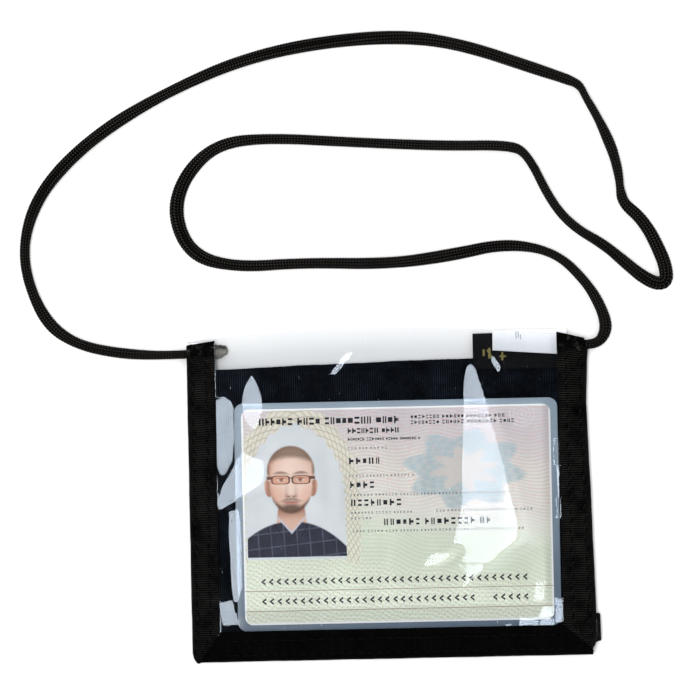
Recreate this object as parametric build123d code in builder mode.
"""Neck pouch wallet: a flat fabric pouch with a clear window, a card in it, and a braided neck cord.

Units are millimetres. The pouch lies on its back on z = 0 with its window up. +X runs along the pouch's
width to the right, +Y runs up to the mouth that the card slides out of, and the origin is below the
middle of the pouch's outline, cord left out.
"""

import os
from math import pi, radians, tan

from build123d import *

os.makedirs("parts", exist_ok=True)

# ---------------------------------------------------------------- driving dimensions
# Plan, measured from the middle of the pouch
overall_width = 133.0  # left edge to the tip of the ribbon tab
overall_height = 107.4  # bottom edge to the crown of the window's top edge
left_x, tab_x = -overall_width / 2, overall_width / 2
bottom_y, crown_y = -overall_height / 2, overall_height / 2
right_x = 64.0  # right edge beside the mouth
waist_x = 63.1  # right edge a little lower, where the sewing draws it in
hip_x = 65.0  # right edge just above the tab
ribbon_face = 10.0  # width of the folded ribbon on each face of the pouch
corner_radius = 3.0  # bottom left corner
inner_left_x = left_x + 9.1
inner_right_x = 54.1
inner_bottom_y = bottom_y + ribbon_face

left_top_y = (49.3, 50.7)  # top end of the left ribbon, at the pouch's edge and at the inner edge
right_top_y = (51.7, 50.5, 47.9)  # top end of the right ribbon: inner edge, shoulder and pouch's edge
shoulder = 2.2  # how far in from the pouch's edge the right ribbon's top slopes down
mitre_x = -64.2  # where the left and bottom ribbons' mitre meets the bottom edge

# Tab of surplus ribbon at the bottom right corner
tab_top_y, tab_bottom_y = -40.1, -49.3
tab_root_x = hip_x - 0.5
tab_thickness = 2.0
notch_x, notch_y = 63.6, -51.6

# Stack, from the floor up
ribbon_thickness = 0.5
fabric_thickness = 0.5
divider_thickness = 0.45
label_thickness = 0.3
vinyl_thickness = 0.25
film_thickness = 0.2
paper_thickness = 0.3
back_panel_z = ribbon_thickness
brand_label_z = back_panel_z + fabric_thickness
care_label_z = brand_label_z + label_thickness
divider_z = 2.05
card_z = 2.75
window_z = 3.65
upper_leg_z = window_z + vinyl_thickness
pouch_thickness = upper_leg_z + ribbon_thickness

# Top edges of the sheets: height at the left end, in the middle and at the right end
window_top = (50.4, crown_y, 49.6)
back_panel_top = (41.0, 42.9, 43.9)
divider_top = (41.2, 40.0, 39.1)

# Labels sewn into the right ribbon
label_sewn_x = 57.2
brand_label_left_x, brand_label_bottom_y, brand_label_top_y = 26.6, 39.6, 51.6
care_label_left_x, care_label_top_y = 33.0, 52.3
care_label_bottom_left_y, care_label_bottom_right_y = 45.7, 44.0

# Laminated card
card_width, card_height, card_corner = 105.0, 74.0, 3.0
paper_width, paper_height, paper_corner = 100.4, 70.0, 2.6
card_centre = (1.05, -6.8)

# Stitching: rows of thread bars on the ribbon's upper face
stitch_length, stitch_pitch, thread_width, thread_height = 2.5, 3.1, 0.3, 0.12
outer_row, inner_row = 2.2, 7.0  # distance of each row from the pouch's edge

# Flat braided cord
cord_width, cord_thickness = 4.4, 2.4
cord_slack = 0.1  # clearance round the cord where it passes through a ribbon
arc_share = 0.45  # part of the shorter run that an arc's tangent takes

# The cord's route on the floor, from its end in the left ribbon to its end in the right ribbon
cord_route = [
    (-57.5, 47.0), (-72.0, 46.2), (-88.0, 47.2), (-103.5, 51.0), (-113.0, 59.0), (-117.8, 70.5),
    (-119.0, 83.0), (-114.8, 97.0), (-105.0, 109.5), (-90.0, 121.5), (-70.0, 132.5), (-47.0, 142.0),
    (-22.0, 147.2), (6.0, 148.8), (26.0, 145.3), (45.0, 138.2), (61.0, 132.8), (68.0, 123.5),
    (73.2, 111.0), (75.8, 99.0), (78.0, 91.0), (84.5, 82.0), (90.5, 74.0), (92.6, 69.0), (90.0, 63.8),
    (84.0, 64.0), (78.8, 71.6), (70.0, 79.5), (60.0, 85.5), (52.0, 95.0), (46.5, 107.6), (36.6, 112.3),
    (20.0, 112.6), (-8.0, 114.2), (-40.0, 116.6), (-56.0, 114.5), (-66.5, 104.0), (-69.8, 91.6),
    (-64.2, 78.6), (-49.6, 74.5), (-28.0, 75.6), (0.0, 74.6), (20.0, 77.0), (38.0, 80.6), (54.0, 77.5),
    (64.0, 67.5), (69.0, 58.5), (70.5, 51.5), (66.5, 46.4), (60.2, 47.5),
]  # fmt: skip


# ---------------------------------------------------------------- outlines in plan
def sketch_outline(*points):
    """A closed polygon through the points, as a sketch on the floor plane."""
    with BuildSketch() as outline:
        with BuildLine():
            Polyline(*points, close=True)
        make_face()
    return outline.sketch


# The pouch's edge, carried past the mouth so that the ribbons' folds stay open at their top ends
past_mouth_y = crown_y + ribbon_face
with BuildSketch() as pouch_edge:
    with BuildLine() as edge_line:
        Polyline((notch_x, notch_y), (notch_x, bottom_y), (left_x, bottom_y), (left_x, past_mouth_y))
        Polyline((left_x, past_mouth_y), (right_x, past_mouth_y), (right_x, 45.0), (waist_x, 28.0))
        Polyline((waist_x, 28.0), (hip_x, tab_top_y), (hip_x, tab_bottom_y + 1.0))
        Line((hip_x, tab_bottom_y + 1.0), (notch_x, notch_y))
    make_face()
    fillet(pouch_edge.vertices().group_by(Axis.Y)[0].sort_by(Axis.X)[0], radius=corner_radius)

# The room inside the folded ribbon
with BuildSketch() as pouch_room:
    add(pouch_edge.sketch)
    offset(amount=-ribbon_thickness, kind=Kind.INTERSECTION, mode=Mode.REPLACE)

# Each ribbon's own stretch of that edge: mitred at the bottom corners, slanted at the mouth
beyond = 5.0
left_mitre = [(inner_left_x, inner_bottom_y), (mitre_x, bottom_y), (mitre_x, bottom_y - beyond)]
right_mitre = [(inner_right_x, inner_bottom_y), (notch_x, notch_y), (notch_x + 2.0, notch_y - 1.0)]
left_stretch = sketch_outline(
    *left_mitre,
    (left_x - beyond, bottom_y - beyond),
    (left_x - beyond, left_top_y[0]),
    (left_x, left_top_y[0]),
    (inner_left_x, left_top_y[1]),
)
right_stretch = sketch_outline(
    *right_mitre,
    (tab_x + beyond, notch_y - 1.0),
    (tab_x + beyond, right_top_y[2]),
    (right_x, right_top_y[2]),
    (right_x - shoulder, right_top_y[1]),
    (inner_right_x, right_top_y[0]),
)
bottom_stretch = sketch_outline(
    *left_mitre, (notch_x + 2.0, bottom_y - beyond), *reversed(right_mitre)
)


def sketch_sheet(top_edge):
    """A sheet that fills the room inside the ribbons, up to an arc through three heights."""
    left_end, middle, right_end = top_edge
    room = pouch_room.sketch.bounding_box()
    with BuildSketch() as sheet:
        with BuildLine():
            top = ThreePointArc((room.min.X, left_end), (0, middle), (room.max.X, right_end))
            Polyline(top @ 1, (room.max.X, room.min.Y), (room.min.X, room.min.Y), top @ 0)
        make_face()
        add(pouch_room.sketch, mode=Mode.INTERSECT)
    return sheet.sketch


# ---------------------------------------------------------------- folded ribbons
ribbon_inside = sketch_outline(
    (inner_left_x, inner_bottom_y),
    (inner_left_x, past_mouth_y),
    (inner_right_x, past_mouth_y),
    (inner_right_x, inner_bottom_y),
)


def folded_ribbon(stretch):
    """A U of ribbon along the pouch's edge: the room inside the fold is taken out between its legs."""
    with BuildPart() as ribbon:
        with BuildSketch():
            add(pouch_edge.sketch)
            add(stretch, mode=Mode.INTERSECT)
            add(ribbon_inside, mode=Mode.SUBTRACT)
        extrude(amount=pouch_thickness)
        with BuildSketch(Plane.XY.offset(ribbon_thickness)):
            add(pouch_room.sketch)
        extrude(amount=pouch_thickness - 2 * ribbon_thickness, mode=Mode.SUBTRACT)
    return ribbon.part


def cord_passage(end, neighbour):
    """Where the cord passes a ribbon: the low corner of the space that it needs up to the ribbon's end."""
    return (end[0], min(end[1], neighbour[1]) - cord_width / 2 - cord_slack)


passage_size = (2.4 * ribbon_face, ribbon_face, cord_thickness + cord_slack)
from_the_corner = (Align.CENTER, Align.MIN, Align.MIN)

with BuildPart() as left_binding:
    add(folded_ribbon(left_stretch))
    with Locations(cord_passage(cord_route[0], cord_route[1])):
        Box(*passage_size, align=from_the_corner, mode=Mode.SUBTRACT)
left_binding.part.label = "left_binding"
export_step(left_binding.part, "parts/left_binding.step")

with BuildPart() as right_binding:
    add(folded_ribbon(right_stretch))
    with Locations(cord_passage(cord_route[-1], cord_route[-2])):
        Box(*passage_size, align=from_the_corner, mode=Mode.SUBTRACT)
    with BuildSketch(Plane.XY.offset(ribbon_thickness)) as surplus_tab:
        with Locations(((tab_root_x + tab_x) / 2, (tab_bottom_y + tab_top_y) / 2)):
            Rectangle(tab_x - tab_root_x, tab_top_y - tab_bottom_y)
    extrude(amount=tab_thickness)
right_binding.part.label = "right_binding"
export_step(right_binding.part, "parts/right_binding.step")

with BuildPart() as bottom_binding:
    add(folded_ribbon(bottom_stretch))
bottom_binding.part.label = "bottom_binding"
export_step(bottom_binding.part, "parts/bottom_binding.step")

# ---------------------------------------------------------------- fabric panels and window
with BuildPart() as back_panel:
    with BuildSketch(Plane.XY.offset(back_panel_z)):
        add(sketch_sheet(back_panel_top))
    extrude(amount=fabric_thickness)
back_panel.part.label = "back_panel"
export_step(back_panel.part, "parts/back_panel.step")

with BuildPart() as divider_panel:
    with BuildSketch(Plane.XY.offset(divider_z)):
        add(sketch_sheet(divider_top))
    extrude(amount=divider_thickness)
divider_panel.part.label = "divider_panel"
export_step(divider_panel.part, "parts/divider_panel.step")

with BuildPart() as front_window:
    with BuildSketch(Plane.XY.offset(window_z)):
        add(sketch_sheet(window_top))
    extrude(amount=vinyl_thickness)
front_window.part.label = "front_window"
export_step(front_window.part, "parts/front_window.step")

# ---------------------------------------------------------------- labels between the fabric layers
with BuildPart() as brand_label:
    with BuildSketch(Plane.XY.offset(brand_label_z)):
        with BuildLine():
            Polyline(
                (brand_label_left_x, brand_label_bottom_y), (label_sewn_x, brand_label_bottom_y),
                (label_sewn_x, brand_label_top_y), (brand_label_left_x, brand_label_top_y), close=True,
            )  # fmt: skip
        make_face()
    extrude(amount=label_thickness)
brand_label.part.label = "brand_label"
export_step(brand_label.part, "parts/brand_label.step")

with BuildPart() as care_label:
    with BuildSketch(Plane.XY.offset(care_label_z)):
        with BuildLine():
            Polyline(
                (care_label_left_x, care_label_bottom_left_y), (label_sewn_x, care_label_bottom_right_y),
                (label_sewn_x, care_label_top_y), (care_label_left_x, care_label_top_y), close=True,
            )  # fmt: skip
        make_face()
    extrude(amount=label_thickness)
care_label.part.label = "care_label"
export_step(care_label.part, "parts/care_label.step")

# ---------------------------------------------------------------- laminated card
card_centred = Plane(origin=(*card_centre, card_z))

with BuildPart() as card_film_back:
    with BuildSketch(card_centred):
        RectangleRounded(card_width, card_height, card_corner)
    extrude(amount=film_thickness + paper_thickness)
    with BuildSketch(card_centred.offset(film_thickness)):
        RectangleRounded(paper_width, paper_height, paper_corner)
    extrude(amount=paper_thickness, mode=Mode.SUBTRACT)
card_film_back.part.label = "card_film_back"
export_step(card_film_back.part, "parts/card_film_back.step")

with BuildPart() as card_core:
    with BuildSketch(card_centred.offset(film_thickness)):
        RectangleRounded(paper_width, paper_height, paper_corner)
    extrude(amount=paper_thickness)
card_core.part.label = "card_core"
export_step(card_core.part, "parts/card_core.step")

with BuildPart() as card_film_front:
    with BuildSketch(card_centred.offset(film_thickness + paper_thickness)):
        RectangleRounded(card_width, card_height, card_corner)
    extrude(amount=film_thickness)
card_film_front.part.label = "card_film_front"
export_step(card_film_front.part, "parts/card_film_front.step")


# ---------------------------------------------------------------- stitching
def stitch_row(start, end):
    """Centres and direction of the thread bars along one straight row."""
    row = Line(start, end)
    count = int(row.length // stitch_pitch)
    return [Location(row @ ((i + 0.5) / count), (0, 0, row.tangent_angle_at(0))) for i in range(count)]


def stitching(*rows):
    """Thread bars on the ribbon's upper face, one for each place in the rows."""
    with BuildPart() as threads:
        with BuildSketch(Plane.XY.offset(pouch_thickness)):
            with Locations(*[place for row in rows for place in row]):
                Rectangle(stitch_length, thread_width)
        extrude(amount=thread_height)
    return threads.part


row_top_y, row_bottom_y = 46.5, bottom_y + 6.0
row_insets = (outer_row, inner_row)
left_rows = [
    stitch_row((left_x + inset, row_bottom_y), (left_x + inset, row_top_y)) for inset in row_insets
]
right_rows = [
    stitch_row((hip_x - inset, row_bottom_y), (waist_x - inset, row_top_y)) for inset in row_insets
]
bottom_rows = [
    stitch_row((inner_left_x, bottom_y + inset), (inner_right_x, bottom_y + inset)) for inset in row_insets
]

left_stitching = stitching(*left_rows)
left_stitching.label = "left_stitching"
export_step(left_stitching, "parts/left_stitching.step")

right_stitching = stitching(*right_rows)
right_stitching.label = "right_stitching"
export_step(right_stitching, "parts/right_stitching.step")

bottom_stitching = stitching(*bottom_rows)
bottom_stitching.label = "bottom_stitching"
export_step(bottom_stitching, "parts/bottom_stitching.step")


# ---------------------------------------------------------------- neck cord
def corner_radii(route):
    """The largest radius that the two runs at each corner of the route leave room for."""
    radii = []
    for before, corner, after in zip(route, route[1:], route[2:]):
        run_in, run_out = Vector(*corner) - Vector(*before), Vector(*after) - Vector(*corner)
        turn = radians(run_in.get_angle(run_out))
        radii.append(arc_share * min(run_in.length, run_out.length) / tan(turn / 2))
    return radii


cord_radii = corner_radii(cord_route)
print("cord radii, mm:", [round(radius, 1) for radius in cord_radii])

with BuildPart() as neck_cord:
    with BuildLine(Plane.XY.offset(cord_thickness / 2)) as cord_line:
        FilletPolyline(*cord_route, radius=cord_radii)
    with BuildSketch(Plane(origin=cord_line.line @ 0, z_dir=cord_line.line % 0, x_dir=(0, 0, 1))):
        Ellipse(cord_thickness / 2, cord_width / 2)
    sweep(path=cord_line.line)
neck_cord.part.label = "neck_cord"
export_step(neck_cord.part, "parts/neck_cord.step")

cord_length = cord_line.wires()[0].length
cord_section = pi * cord_thickness * cord_width / 4
print(f"cord length {cord_length:.1f} mm, volume {neck_cord.part.volume:.0f} mm3,", end=" ")
print(f"section times length {cord_section * cord_length:.0f} mm3")


def melted_tip(end, neighbour, length, end_scale):
    """The hardened, melted end of the cord: the braid's own section, drawn in towards its tip."""
    start = Vector(*end, cord_thickness / 2)
    outward = (Vector(*end) - Vector(*neighbour)).normalized()
    with BuildPart() as tip:
        for origin, scale in ((start, 1.0), (start + outward * length, end_scale)):
            with BuildSketch(Plane(origin=origin, z_dir=outward, x_dir=(0, 0, 1))):
                Ellipse(scale * cord_thickness / 2, scale * cord_width / 2)
        loft()
    return tip.part


left_cord_tip = melted_tip(cord_route[0], cord_route[1], 4.2, 0.8)
left_cord_tip.label = "left_cord_tip"
export_step(left_cord_tip, "parts/left_cord_tip.step")

right_cord_tip = melted_tip(cord_route[-1], cord_route[-2], 2.0, 0.8)
right_cord_tip.label = "right_cord_tip"
export_step(right_cord_tip, "parts/right_cord_tip.step")
